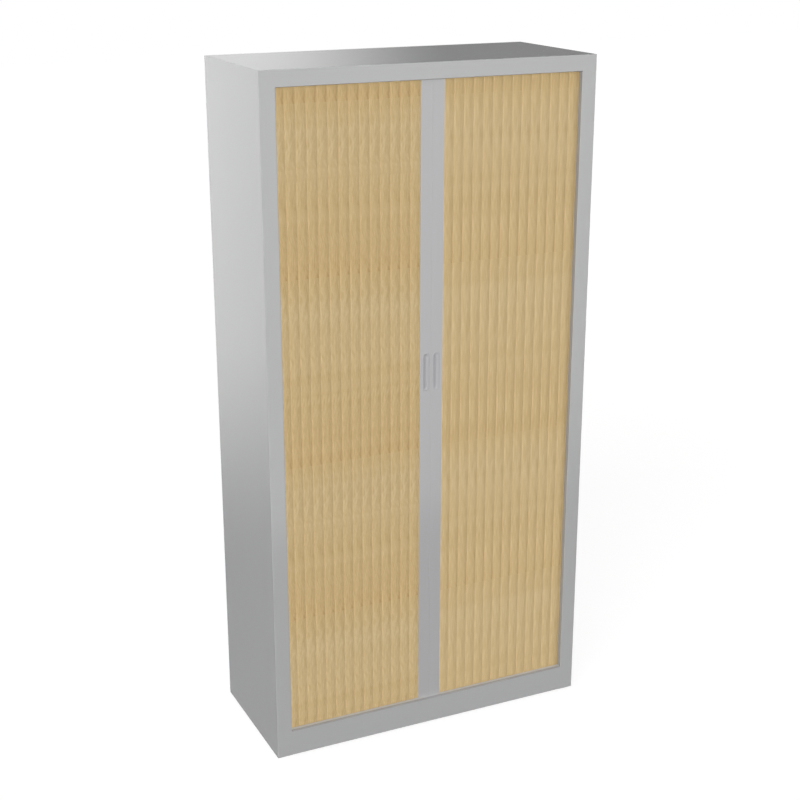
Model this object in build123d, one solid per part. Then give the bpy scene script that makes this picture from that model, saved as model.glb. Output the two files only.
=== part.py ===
from build123d import *
import os
from math import asin, cos, pi, radians, sin, sqrt

# Steel tambour cupboard with two side-opening slatted doors.
# Millimetres. X to the right, Y to the back, Z up; the origin is the centre of the footprint.
# Everything handed is drawn for the right side and mirrored for the left.

# Case, outside
WIDTH = 1000.0
DEPTH = 430.0
HEIGHT = 1980.0

# Sheet steel
SHEET = 1.0
LINER = 0.8
BEND = 1.5
LINER_BEND = 1.2
EDGE_ROUND = 0.6

# Front frame
STILE = 45.0
RAIL = 45.0
PLINTH = 80.0
RETURN_DEPTH = 16.8
STILE_LAP = 3.0
FLANGE = 15.0
REAR_FLANGE = 20.0
PAN_FLANGE = 20.0
FIT = 0.3
CORNER_CLEAR = 0.6

# Rear skin
RIVET_HEAD = 1.2
RIVET_R = 4.0
RIVET_FACETS = 12
RIVET_MARGIN = 10.0
RIVETS_UP = 4

# Guide track
TRACK_WIDTH = 10.0
GROOVE = 7.0
FACE_CLEAR = 1.0
LOWER_TRACK = 12.0
LOWER_GROOVE = 8.5
UPPER_TRACK = 14.0
UPPER_GROOVE = 11.0
CORNER_R = 36.0
SIDE_GAP = 4.0
BUFFER = 6.0

# Tambour slat, drawn about its own hinge socket
NOMINAL_PITCH = 30.0
SLAT_TUCK = 0.5
FACE_SETBACK = 18.0
CROWN = 1.3
CROWN_FLATS = 6
PLATE_END = 1.3
SLAT_BEVEL = 0.8
JOINT_GAP = 0.3
HINGE_DEPTH = 3.3
BEAD_R = 1.1
BEAD_CLEAR = 0.25
HINGE_FACETS = 12
SOCKET_WALL = 0.9
NECK = 0.9
NECK_ROOT = 5.0
NECK_RAMP = 2.0
FRONT_LIP_ANGLE = 148.0
BACK_LIP_ANGLE = 255.0
SLAT_FLOOR_GAP = 0.3
SLAT_HEAD_GAP = 3.0
TAIL_GAP = 3.0

# Leading profile, its finger pull and its end guides
LEAD_EDGE = 35.5
MEETING_GAP = 0.15
LEAD_DEPTH = 13.0
LEAD_WALL = 1.5
LEAD_END_GAP = 1.5
PULL_WIDTH = 22.0
PULL_HEIGHT = 113.0
PULL_CENTRE_X = 16.0
PULL_CENTRE_Z = 1117.0
PULL_BODY = 9.0
PULL_SCOOP = 6.0
PULL_RIM = 1.0
PLUG_HEIGHT = 25.0
TONGUE = 5.2
TONGUE_INSET = 4.0

# Inside
SHELVES = 4
SHELF_PITCH = 375.0
SHELF_SETBACK = 29.0
SHELF_REAR_GAP = 3.6
SHELF_DROP = 25.0
SHELF_HEM = 12.0
SLOTS_A_SHELF = 4
SLOT_HEIGHT = 3.0
SLOT_WIDTH = 13.0
SLOT_FRONT_INSET = 33.0
SLOT_REAR_INSET = 50.0
WALL_FLANGE = 6.0
WALL_LAP = 1.2
WALL_CLEAR = 2.0
CLIP_WIDTH = 12.0
CLIP_SHEET = 1.5
CLIP_SEAT = 10.0
CLIP_DROP = 18.0
CLIP_HOOK = 4.0

# Levelling feet
FOOT_INSET_X = 60.0
FOOT_INSET_Y = 43.0
PAD_R = 19.0
PAD_EDGE = 2.0
PAD_HEIGHT = 10.0
STEM_R = 5.0
STEM_CLEAR = 0.05
NUT_R = 10.0
NUT_HEIGHT = 20.0
NUT_PLATE = 60.0
NUT_SHEET = 2.0
STEM_TOP_GAP = 4.0

ON_FLOOR = (Align.CENTER, Align.CENTER, Align.MIN)

# Planes that several pieces share
FRONT = -DEPTH / 2
BACK = DEPTH / 2
SIDE = WIDTH / 2
SIDE_IN = SIDE - SHEET
OPENING = SIDE - STILE
RAIL_Z = HEIGHT - RAIL
TOP_Z = HEIGHT - SHEET
REAR_SKIN = BACK - RIVET_HEAD - LINER
REAR_IN = REAR_SKIN - SHEET
RETURN_Y = FRONT + RETURN_DEPTH
PAN_Z = PLINTH - SHEET - LOWER_TRACK
CEILING_Z = RAIL_Z + SHEET + UPPER_TRACK
FACE = FRONT + FACE_SETBACK

# Slats: the joint lines share out the opening
SOCKET_R = BEAD_R + BEAD_CLEAR
SOCKET_OUT = SOCKET_R + SOCKET_WALL
SLAT_SPAN = OPENING + SLAT_TUCK - LEAD_EDGE
SLAT_COUNT = round(SLAT_SPAN / NOMINAL_PITCH)
PITCH = SLAT_SPAN / SLAT_COUNT
FIRST_HINGE = LEAD_EDGE + SOCKET_OUT
SLAT_DEPTH = HINGE_DEPTH + SOCKET_OUT
SLAT_BOTTOM = PAN_Z + LOWER_TRACK - LOWER_GROOVE + SLAT_FLOOR_GAP
SLAT_TOP = RAIL_Z + SHEET + UPPER_GROOVE - SLAT_HEAD_GAP

# The line that the slats follow: along the front, round the corner and back along the side
TRACK_Y = FACE - FACE_CLEAR + GROOVE / 2
TRACK_X = SIDE_IN - SIDE_GAP - TRACK_WIDTH / 2
CORNER_X = TRACK_X - CORNER_R
CORNER_Y = TRACK_Y + CORNER_R
TRACK_END = REAR_IN - SHEET - BUFFER

# The false walls stand just outside the opening, and their front flange clears the track's corner
WALL_IN = OPENING + WALL_LAP
WALL_X = WALL_IN + LINER
WALL_FLANGE_X = WALL_IN + WALL_FLANGE
WALL_FRONT = CORNER_Y - sqrt(
    (CORNER_R - TRACK_WIDTH / 2 - WALL_CLEAR) ** 2 - (WALL_FLANGE_X - CORNER_X) ** 2)

# The floor stops short of the tracks, at their corners too
FLOOR_HALF = WALL_IN - FIT
FLOOR_FRONT = CORNER_Y - sqrt(
    (CORNER_R - TRACK_WIDTH / 2 - CORNER_CLEAR) ** 2 - max(FLOOR_HALF - CORNER_X, 0) ** 2)

# Shelves, their clips' slots and the feet
SHELF_FRONT = FACE + SHELF_SETBACK
SHELF_BACK = REAR_IN - SHELF_REAR_GAP
SLOT_PITCH = SHELF_PITCH / SLOTS_A_SHELF
SLOT_COLUMNS = (SHELF_FRONT + SLOT_FRONT_INSET, BACK - SLOT_REAR_INSET)
FOOT_X = SIDE - FOOT_INSET_X
FOOT_Y = BACK - FOOT_INSET_Y


def block(x0, x1, y0, y1, z0, z1):
    """A rectangular block between two corners."""
    return Pos((x0 + x1) / 2, (y0 + y1) / 2, (z0 + z1) / 2) * Box(x1 - x0, y1 - y0, z1 - z0)


def ribbon(points, sheet, bend, side):
    """The cross-section of a bent sheet, from the outline of its outer face."""
    outline = FilletPolyline(*points, radius=bend)
    return make_face(offset(outline, amount=sheet, side=side))


def upright(points, z0, z1, sheet=SHEET, bend=BEND, side=Side.RIGHT):
    """A sheet bent along vertical lines: points are X and Y."""
    return Pos(0, 0, z0) * extrude(ribbon(points, sheet, bend, side), amount=z1 - z0)


def lengthwise(points, half, sheet=SHEET, bend=BEND, side=Side.RIGHT):
    """A sheet bent along lines that run in X: points are Y and Z."""
    section = Plane.YZ * ribbon(points, sheet, bend, side)
    return Pos(-half, 0, 0) * extrude(section, amount=2 * half)


def left_of(solid):
    return mirror(solid, about=Plane.YZ)


def side_panel():
    """Side, front stile and rear flange in one sheet, with the stile's return beside the opening."""
    skin = upright(
        [(SIDE - REAR_FLANGE, REAR_SKIN), (SIDE, REAR_SKIN),
         (SIDE, FRONT), (OPENING + STILE_LAP, FRONT)],
        0, TOP_Z,
    )
    back_of_return = RETURN_Y - FIT
    lip = upright(
        [(OPENING + 2 * STILE_LAP, FRONT), (OPENING, FRONT), (OPENING, back_of_return)],
        PLINTH, RAIL_Z,
    )
    for z0, z1 in ((0, PLINTH), (RAIL_Z, TOP_Z)):
        skin += block(OPENING, OPENING + STILE_LAP, FRONT, FRONT + SHEET, z0, z1)
    for z0 in (0, TOP_Z - SHEET):
        skin += block(SIDE_IN - FLANGE, SIDE_IN, FRONT + BEND, REAR_IN, z0, z0 + SHEET)
    return skin + lip


def top_panel():
    """Flat lid with the front rail folded down between the stiles and a flange behind."""
    lid = block(-SIDE, SIDE, FRONT, BACK, TOP_Z, HEIGHT)
    lid = fillet(lid.faces().sort_by(Axis.Z)[-1].edges(), EDGE_ROUND)
    rail = lengthwise([(FRONT, TOP_Z), (FRONT, RAIL_Z), (RETURN_Y, RAIL_Z)], OPENING, side=Side.LEFT)
    rear = block(FLANGE - SIDE_IN + REAR_FLANGE, SIDE_IN - FLANGE - REAR_FLANGE,
                 REAR_IN, REAR_SKIN, TOP_Z - REAR_FLANGE, TOP_Z)
    return lid + rail + rear


def plinth():
    """Kick plate between the stiles: a ledge on top that hides the track, and a foot return."""
    outline = [(RETURN_Y, PLINTH), (FRONT, PLINTH), (FRONT, 0), (FRONT + FLANGE, 0)]
    return lengthwise(outline, OPENING, side=Side.LEFT)


def base_pan():
    """Pan under the tracks and the floor, with a flange down at the front and back."""
    front = FRONT + SHEET
    outline = [(front, PAN_Z - PAN_FLANGE), (front, PAN_Z), (REAR_IN, PAN_Z), (REAR_IN, PAN_Z - PAN_FLANGE)]
    return lengthwise(outline, SIDE_IN - CORNER_CLEAR)


def floor_panel():
    """Raised floor of the lowest compartment, standing on the pan behind the track."""
    back = REAR_IN - CORNER_CLEAR
    outline = [(FLOOR_FRONT, PAN_Z), (FLOOR_FRONT, PLINTH), (back, PLINTH), (back, PAN_Z)]
    return lengthwise(outline, FLOOR_HALF, LINER, LINER_BEND)


def ceiling_panel():
    """Liner over the tracks, stiffened by flanges that turn up."""
    front, back = FRONT + SHEET + CORNER_CLEAR, REAR_IN - CORNER_CLEAR
    high = CEILING_Z + FLANGE
    outline = [(front, high), (front, CEILING_Z), (back, CEILING_Z), (back, high)]
    return lengthwise(outline, SIDE_IN - CORNER_CLEAR, side=Side.LEFT)


def back_panel():
    """Plain sheet laid over the rear flanges."""
    return block(-SIDE, SIDE, REAR_SKIN, REAR_SKIN + LINER, 0, TOP_Z)


def rivet_places():
    """Centres of the rivet heads round the back panel, as X and Z."""
    edge = SIDE - RIVET_MARGIN
    low, high = PAN_Z - RIVET_MARGIN, TOP_Z - RIVET_MARGIN
    step = (high - low) / (RIVETS_UP - 1)
    sides = [(s * edge, low + i * step) for s in (-1, 1) for i in range(RIVETS_UP)]
    return sides + [(0, low), (0, high)]


def rear_rivets():
    heads = []
    for x, z in rivet_places():
        face = Plane((x, REAR_SKIN + LINER, z), z_dir=(0, 1, 0))
        heads.append(extrude(face * RegularPolygon(RIVET_R, RIVET_FACETS), amount=RIVET_HEAD))
    return Compound(children=heads)


def slot_heights():
    count = int((CEILING_Z - PLINTH) / SLOT_PITCH)
    return [PLINTH + i * SLOT_PITCH - LINER - CLIP_DROP / 2 for i in range(1, count + 1)]


def inner_wall():
    """False side between the shelves and the slats' return channel, slotted for the shelf clips."""
    back = REAR_IN - CORNER_CLEAR
    outline = [(WALL_FLANGE_X, WALL_FRONT), (WALL_IN, WALL_FRONT), (WALL_IN, back), (WALL_FLANGE_X, back)]
    wall = upright(outline, PAN_Z, CEILING_Z, LINER, LINER_BEND)
    places = Locations([(WALL_IN, y, z) for y in SLOT_COLUMNS for z in slot_heights()])
    return wall - places * Box(4 * LINER, SLOT_WIDTH, SLOT_HEIGHT)


def track_plan(width):
    """The track's run seen from above: front, corner and side."""
    start = MEETING_GAP
    run = Line((start, TRACK_Y), (CORNER_X, TRACK_Y))
    turn = CenterArc((CORNER_X, CORNER_Y), CORNER_R, -90, 90)
    side = Line((TRACK_X, CORNER_Y), (TRACK_X, TRACK_END))
    return trace(Curve() + [run, turn, side], width)


def lower_track():
    body = Pos(0, 0, PAN_Z) * extrude(track_plan(TRACK_WIDTH), amount=LOWER_TRACK)
    floor = PAN_Z + LOWER_TRACK - LOWER_GROOVE
    return body - Pos(0, 0, floor) * extrude(track_plan(GROOVE), amount=LOWER_GROOVE)


def upper_track():
    under = RAIL_Z + SHEET
    body = Pos(0, 0, under) * extrude(track_plan(TRACK_WIDTH), amount=UPPER_TRACK)
    return body - Pos(0, 0, under) * extrude(track_plan(GROOVE), amount=UPPER_GROOVE)


def end_buffers():
    """Rubber stops behind the ends of the four track runs."""
    half = TRACK_WIDTH / 2
    stops = []
    for x in (-TRACK_X, TRACK_X):
        for z, height in ((PAN_Z, LOWER_TRACK), (RAIL_Z + SHEET, UPPER_TRACK)):
            stops.append(block(x - half, x + half, TRACK_END, TRACK_END + BUFFER, z, z + height))
    return Compound(children=stops)


def polar(radius, angle):
    """A point about the hinge, where 90 degrees is towards the front."""
    turn = radians(angle)
    return (radius * cos(turn), HINGE_DEPTH - radius * sin(turn))


def slat_section():
    """Crowned plate with a hinge socket under one edge and a bead on a neck at the other.
    X runs across the slat from its own socket, Y from the crown towards the back."""
    start = -SOCKET_OUT
    end = PITCH - SOCKET_OUT - JOINT_GAP
    under = CROWN + PLATE_END
    half = (end - start) / 2
    radius = (half**2 + CROWN**2) / (2 * CROWN)
    lean = asin(half / radius)
    turns = [lean * (2 * i / CROWN_FLATS - 1) for i in range(CROWN_FLATS + 1)]
    crown = [(start + half + radius * sin(turn), radius * (1 - cos(turn))) for turn in turns]
    plate = make_face(Polyline(*crown, (end, under), (start, under), close=True))
    neck_front, neck_back = HINGE_DEPTH - NECK / 2, HINGE_DEPTH + NECK / 2
    neck = make_face(Polyline(
        (end - NECK_ROOT, under), (end - NECK_RAMP, neck_back), (PITCH, neck_back),
        (PITCH, neck_front), (end, neck_front), (end, CROWN + SLAT_BEVEL), close=True,
    ))
    reach = 2 * SOCKET_OUT
    between = (FRONT_LIP_ANGLE + BACK_LIP_ANGLE) / 2
    mouth = make_face(Polyline(
        (0, HINGE_DEPTH), polar(reach, FRONT_LIP_ANGLE), polar(2 * reach, between),
        polar(reach, BACK_LIP_ANGLE), close=True,
    ))
    hinge = Pos(0, HINGE_DEPTH)
    section = hinge * RegularPolygon(SOCKET_OUT, HINGE_FACETS) - mouth + plate + neck
    section += Pos(PITCH, HINGE_DEPTH) * RegularPolygon(BEAD_R, HINGE_FACETS)
    section -= hinge * RegularPolygon(SOCKET_R, HINGE_FACETS)
    edges = [v for v in section.vertices() if abs(v.Y - CROWN) < 0.01]
    return chamfer(edges, SLAT_BEVEL)


def slat(section, number):
    place = Pos(FIRST_HINGE + (number - 1) * PITCH, FACE, SLAT_BOTTOM)
    return place * extrude(section, amount=SLAT_TOP - SLAT_BOTTOM)


def pull_outline(grow):
    """The finger pull's rounded slot, standing upright, as a face in the front plane."""
    front = Plane((PULL_CENTRE_X, FACE, PULL_CENTRE_Z), x_dir=(0, 0, 1), z_dir=(0, 1, 0))
    return front * SlotOverall(PULL_HEIGHT + 2 * grow, PULL_WIDTH + 2 * grow)


def lead_profile():
    """Hollow leading extrusion that carries the finger pull and the first slat's bead."""
    outer_x = FIRST_HINGE - SOCKET_OUT - JOINT_GAP
    box = Rectangle(outer_x - MEETING_GAP, LEAD_DEPTH, align=Align.MIN)
    hollow = Rectangle(outer_x - MEETING_GAP - 2 * LEAD_WALL, LEAD_DEPTH - 2 * LEAD_WALL, align=Align.MIN)
    section = Pos(MEETING_GAP, 0) * (box - Pos(LEAD_WALL, LEAD_WALL) * hollow)
    reach = FIRST_HINGE - outer_x + LEAD_WALL / 2
    section += Pos(FIRST_HINGE - reach, HINGE_DEPTH - NECK / 2) * Rectangle(reach, NECK, align=Align.MIN)
    section += Pos(FIRST_HINGE, HINGE_DEPTH) * RegularPolygon(BEAD_R, HINGE_FACETS)
    bottom, top = PLINTH + LEAD_END_GAP, RAIL_Z - LEAD_END_GAP
    bar = Pos(0, FACE, bottom) * extrude(section, amount=top - bottom)
    return bar - extrude(pull_outline(0), amount=2 * LEAD_WALL)


def finger_pull():
    """Insert with a shallow hollow for the fingertips, round in plan and at both ends."""
    body = extrude(pull_outline(-JOINT_GAP / 2), amount=PULL_BODY)
    half = PULL_WIDTH / 2 - PULL_RIM
    radius = (half**2 + PULL_SCOOP**2) / (2 * PULL_SCOOP)
    axis_y = FACE + PULL_SCOOP - radius
    scoop = Pos(PULL_CENTRE_X, axis_y, PULL_CENTRE_Z) * Cylinder(radius, PULL_HEIGHT)
    mouth = extrude(pull_outline(-PULL_RIM), amount=PULL_SCOOP)
    return body - (scoop & mouth)


def lead_guides():
    """Plugs in the two ends of the leading profile, each with a tongue that runs in the track."""
    outer_x = FIRST_HINGE - SOCKET_OUT - JOINT_GAP
    gap = JOINT_GAP / 2 + LEAD_WALL
    bottom, top = PLINTH + LEAD_END_GAP, RAIL_Z - LEAD_END_GAP
    guides = []
    for plug, tongue in (
        ((bottom, bottom + PLUG_HEIGHT), (SLAT_BOTTOM, bottom)),
        ((top - PLUG_HEIGHT, top), (top, SLAT_TOP)),
    ):
        guide = block(MEETING_GAP + gap, outer_x - gap, FACE + gap, FACE + LEAD_DEPTH - gap, *plug)
        y0, y1 = TRACK_Y - TONGUE / 2, TRACK_Y + TONGUE / 2
        guide += block(TONGUE_INSET, outer_x - TONGUE_INSET, y0, y1, *tongue)
        guides.append(guide)
    return Compound(children=guides)


def shelf_top(number):
    return PLINTH + number * SHELF_PITCH


def shelf(number):
    """Folded shelf: a boxed hem along the front and back edges."""
    z, back = shelf_top(number), SHELF_BACK
    low = z - SHELF_DROP
    outline = [
        (SHELF_FRONT + SHELF_HEM, low), (SHELF_FRONT, low), (SHELF_FRONT, z),
        (back, z), (back, low), (back - SHELF_HEM, low),
    ]
    half = WALL_IN - CLIP_SHEET - FIT
    return lengthwise(outline, half, LINER, LINER_BEND)


def shelf_clips():
    """Bent clips hooked into the slots, four under each shelf."""
    clips = []
    for number in range(1, SHELVES + 1):
        seat = shelf_top(number) - LINER
        slot = seat - CLIP_DROP / 2
        for y in SLOT_COLUMNS:
            y0, y1 = y - CLIP_WIDTH / 2, y + CLIP_WIDTH / 2
            clip = block(WALL_IN - CLIP_SHEET, WALL_IN, y0, y1, seat - CLIP_DROP, seat)
            clip += block(WALL_IN - CLIP_SEAT, WALL_IN, y0, y1, seat - CLIP_SHEET, seat)
            clip += block(WALL_IN, WALL_IN + CLIP_HOOK, y0, y1, slot - CLIP_SHEET / 2, slot + CLIP_SHEET / 2)
            clips += [clip, left_of(clip)]
    return Compound(children=clips)


def foot():
    """Levelling foot: a six-sided pad, turned with a spanner, on a screwed stem."""
    stem_top = PAN_Z - SHEET - STEM_TOP_GAP
    pad = extrude(RegularPolygon(PAD_R, 6), amount=PAD_HEIGHT)
    pad = chamfer(pad.faces().sort_by(Axis.Z)[-1].edges(), PAD_EDGE)
    return pad + Pos(0, 0, PAD_HEIGHT) * Cylinder(STEM_R, stem_top - PAD_HEIGHT, align=ON_FLOOR)


def nut_plate():
    """Plate with a six-sided nut, welded under the pan."""
    under = PAN_Z - SHEET
    plate = block(-NUT_PLATE / 2, NUT_PLATE / 2, -NUT_PLATE / 2, NUT_PLATE / 2, under - NUT_SHEET, under)
    low = Pos(0, 0, under - NUT_HEIGHT)
    nut = low * extrude(RegularPolygon(NUT_R, 6), amount=NUT_HEIGHT)
    return plate + nut - low * Cylinder(STEM_R + STEM_CLEAR, NUT_HEIGHT, align=ON_FLOOR)


def assembly():
    """Every piece by name."""
    right_side, wall = side_panel(), inner_wall()
    low_track, high_track = lower_track(), upper_track()
    pieces = {
        "right_side_panel": right_side,
        "left_side_panel": left_of(right_side),
        "top_panel": top_panel(),
        "plinth": plinth(),
        "base_pan": base_pan(),
        "floor_panel": floor_panel(),
        "ceiling_panel": ceiling_panel(),
        "back_panel": back_panel(),
        "rear_rivets": rear_rivets(),
        "right_inner_wall": wall,
        "left_inner_wall": left_of(wall),
        "right_lower_track": low_track,
        "left_lower_track": left_of(low_track),
        "right_upper_track": high_track,
        "left_upper_track": left_of(high_track),
        "track_end_buffers": end_buffers(),
        "shelf_clips": shelf_clips(),
    }
    for number in range(1, SHELVES + 1):
        pieces[f"shelf_{number}"] = shelf(number)
    for name, solid in (
        ("lead_profile", lead_profile()),
        ("finger_pull", finger_pull()),
        ("lead_guides", lead_guides()),
    ):
        pieces[f"right_{name}"] = solid
        pieces[f"left_{name}"] = left_of(solid)
    section = slat_section()
    for number in range(1, SLAT_COUNT + 1):
        solid = slat(section, number)
        pieces[f"right_slat_{number:02d}"] = solid
        pieces[f"left_slat_{number:02d}"] = left_of(solid)
    plates = []
    for front, y in (("front", -FOOT_Y), ("rear", FOOT_Y)):
        for hand, x in (("left", -FOOT_X), ("right", FOOT_X)):
            pieces[f"{front}_{hand}_foot"] = Pos(x, y, 0) * foot()
            plates.append(Pos(x, y, 0) * nut_plate())
    pieces["foot_nut_plates"] = Compound(children=plates)
    return pieces


def door_travel():
    """How far a leading profile slides before the last slat meets its buffer."""
    run = CORNER_X - FIRST_HINGE + CORNER_R * pi / 2 + TRACK_END - CORNER_Y
    return run - SLAT_COUNT * PITCH - BEAD_R - TAIL_GAP


os.makedirs("parts", exist_ok=True)
for node, solid in assembly().items():
    export_step(solid, f"parts/{node}.step")
print(f"slats a door {SLAT_COUNT}, pitch {PITCH:.2f} mm, door travel {door_travel():.1f} mm")
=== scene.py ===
# %% [markdown]
# # A steel cupboard with two tambour doors
#
# The real cupboard is a case of folded and painted sheet steel, closed by two curtains of narrow upright
# slats that slide round the corners and back along the sides. The measured model already holds every piece
# in its place, so this script loads it as a fixed frame and gives it its looks: the studio, the paint, the
# wood-effect slats and the small fittings.

# %% Load the measured model
import math
from collections import namedtuple

import bmesh
import bpy
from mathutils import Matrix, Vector


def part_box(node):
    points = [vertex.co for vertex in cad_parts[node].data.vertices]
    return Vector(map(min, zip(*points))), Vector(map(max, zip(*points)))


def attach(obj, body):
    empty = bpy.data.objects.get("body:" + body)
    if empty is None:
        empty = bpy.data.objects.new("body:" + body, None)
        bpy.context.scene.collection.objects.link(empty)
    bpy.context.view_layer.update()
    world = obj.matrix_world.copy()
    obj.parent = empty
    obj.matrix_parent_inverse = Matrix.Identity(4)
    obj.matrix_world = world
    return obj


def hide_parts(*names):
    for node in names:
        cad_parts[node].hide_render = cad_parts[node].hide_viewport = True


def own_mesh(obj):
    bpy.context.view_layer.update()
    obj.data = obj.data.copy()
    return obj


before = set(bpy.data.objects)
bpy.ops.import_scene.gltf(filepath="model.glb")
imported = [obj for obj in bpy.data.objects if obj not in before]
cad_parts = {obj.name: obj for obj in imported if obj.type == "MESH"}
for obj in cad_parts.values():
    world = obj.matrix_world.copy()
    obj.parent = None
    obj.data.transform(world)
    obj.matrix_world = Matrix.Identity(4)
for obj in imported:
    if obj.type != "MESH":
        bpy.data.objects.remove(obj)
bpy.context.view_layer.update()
scene = bpy.context.scene
MM = 0.001

# %% [markdown]
# ## Camera
# The photograph was taken from the front left, a little above the cupboard. A camera can be placed by eye or
# worked out from the corners of a box whose size is known. Here twenty straight edges of the case were
# matched, which gives the place, the turn and the lens together.

# %% Set up the camera
CAMERA_PLACE = (-1.79304, -3.80268, 2.37984)
CAMERA_TURN = (71.4828, 0.0, -25.1885)
SENSOR_WIDTH = 36.0
FOCAL_LENGTH = 66.859

lens = bpy.data.cameras.new("photo_camera")
lens.sensor_width = SENSOR_WIDTH
lens.lens = FOCAL_LENGTH
camera = bpy.data.objects.new("photo_camera", lens)
camera.location = CAMERA_PLACE
camera.rotation_euler = [math.radians(turn) for turn in CAMERA_TURN]
scene.collection.objects.link(camera)
scene.camera = camera
scene.view_settings.view_transform = "Standard"
print("camera", FOCAL_LENGTH, "mm")

# %% [markdown]
# ## Node helpers
# Every material, the studio's surroundings and the curtain are node trees. Clicking them together is fine
# for one, but in a script four small functions keep each tree short enough to read: one adds any node, one
# does a sum, one turns a range of values into another, and one passes from a first value to a second.

# %% Helpers for node trees
def add(tree, kind, inputs=None, **settings):
    """A new node. An input is given a value, or the socket that feeds it."""
    made = tree.nodes.new(kind)
    for name, value in settings.items():
        setattr(made, name, value)
    for key, value in (inputs or {}).items():
        if isinstance(value, bpy.types.NodeSocket):
            tree.links.new(value, made.inputs[key])
        else:
            made.inputs[key].default_value = value
    return made


def sums(tree, operation, *values):
    return add(tree, "ShaderNodeMath", dict(enumerate(values)), operation=operation).outputs[0]


def remap(tree, value, low, high, to_low=0.0, to_high=1.0, curve="LINEAR"):
    inputs = dict(enumerate((value, low, high, to_low, to_high)))
    return add(tree, "ShaderNodeMapRange", inputs, interpolation_type=curve).outputs[0]


def blend_values(tree, share, first, second):
    inputs = {0: share, 2: first, 3: second}
    return add(tree, "ShaderNodeMix", inputs, data_type="FLOAT").outputs[0]


print("helpers ready")

# %% [markdown]
# ## Studio
# The cupboard was lit evenly from all round, with one large soft lamp at the front left, above, and the
# recess of the doors has almost no shadow. One world light alone would darken that recess, so most of the
# even light comes from two huge lamps, one in front and one behind, that most of the frame doesn't shade.
# Light linking picks what may cast the lamps' shadows: the pieces inside the case, which keeps the shelves
# in a natural shade when the doors stand open, the right side, which softly darkens the slat beside it, and
# the plinth, whose ledge takes a little light off the foot of the doors. The two huge lamps are sampled
# directly only, because rays that are sampled from a surface ignore that link.

# %% Lamps
KEY_STRENGTH = 2.58
KEY_SPREAD = 30.0
KEY_HEADING = Vector((1.0, 1.0, -1.0))
FILL_STRENGTH = 1.21
FILL_SPREAD = 180.0
LAMP_AWAY = 3.0
SHADING = (
    "inner_wall", "shelf", "back_panel", "floor_panel", "ceiling_panel", "base_pan", "right_side_panel",
    "plinth",
)

shading = bpy.data.collections.new("casts_lamp_shadows")
for name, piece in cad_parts.items():
    if any(word in name for word in SHADING):
        shading.objects.link(piece)


def lamp(name, heading, strength, spread):
    light = bpy.data.lights.new(name, "SUN")
    light.energy = strength
    light.angle = math.radians(spread)
    made = bpy.data.objects.new(name, light)
    made.rotation_euler = heading.to_track_quat("-Z", "Y").to_euler()
    made.location = -LAMP_AWAY * heading
    made.light_linking.blocker_collection = shading
    scene.collection.objects.link(made)
    return made


lamp("key_softbox", KEY_HEADING, KEY_STRENGTH, KEY_SPREAD)
for name, heading in (("front_fill", Vector((0, 1, 0))), ("rear_fill", Vector((0, -1, 0)))):
    fill = lamp(name, heading, FILL_STRENGTH, FILL_SPREAD)
    fill.visible_glossy = False
    fill.data.cycles.use_multiple_importance_sampling = False

# %% [markdown]
# ## Mirrored walls
# Smooth paint also mirrors its surroundings faintly. On the real cupboard the front shows a dark floor low
# down, with a straight edge at mid height and a bright wall above it. The left side and the lid show another
# wall that is bright on the left only and, on the side, a little brighter towards the back. Panels could be
# stood around the cupboard for this. A world that answers glossy rays with those walls, by their direction,
# does the same with nothing in the way, and it answers the camera with plain white.

# %% The wall that the front mirrors
FLOOR_DARK = 0.04
WALL_EDGE = (-0.480, -0.455)
WALL_RISE = (-0.454, -0.134)
WALL_GAIN = 0.48
LEFT_GLOW = 0.85
RIGHT_GLOW = 0.35
RIGHT_PART = (0.45, 0.63)
CATCH_UP = (-0.454, -0.37)
CATCH_UP_GAIN = 0.33


def front_wall(sky, aside, away, up):
    """A dark floor, then a wall that starts at a straight edge and grows brighter upwards."""
    nearer = sums(sky, "MULTIPLY", away, -1.0)
    slope = sums(sky, "DIVIDE", up, nearer)
    to_right = remap(sky, sums(sky, "DIVIDE", aside, nearer), *RIGHT_PART, curve="SMOOTHSTEP")
    foot_glow = blend_values(sky, to_right, LEFT_GLOW, RIGHT_GLOW)
    rise = remap(sky, slope, *WALL_RISE, 0.0, WALL_GAIN)
    catch_up = remap(sky, slope, *CATCH_UP, 0.0, CATCH_UP_GAIN, "SMOOTHSTEP")
    glow = sums(sky, "ADD", sums(sky, "ADD", foot_glow, rise), sums(sky, "MULTIPLY", to_right, catch_up))
    edge = remap(sky, slope, *WALL_EDGE, curve="SMOOTHSTEP")
    return blend_values(sky, edge, FLOOR_DARK, glow)


print("front wall from a slope of", WALL_EDGE[0])


# %% The wall that the left side and the lid mirror
REAR_DARK = 0.14
SIDE_DARK = 0.13
SIDE_BRIGHT = 1.03
SIDE_EDGE = (-0.42, -0.255)
SIDE_RISE = (-0.26, -0.11)
SIDE_GAIN = 0.24
SIDE_FADE = (-0.11, 0.03)
SIDE_LOSS = 0.42
BACKWARDS = (-0.3604, -0.3218)
BACKWARDS_TONES = (0.925, 1.1)
LEFT_PART = (0.342, 0.518)


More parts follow.
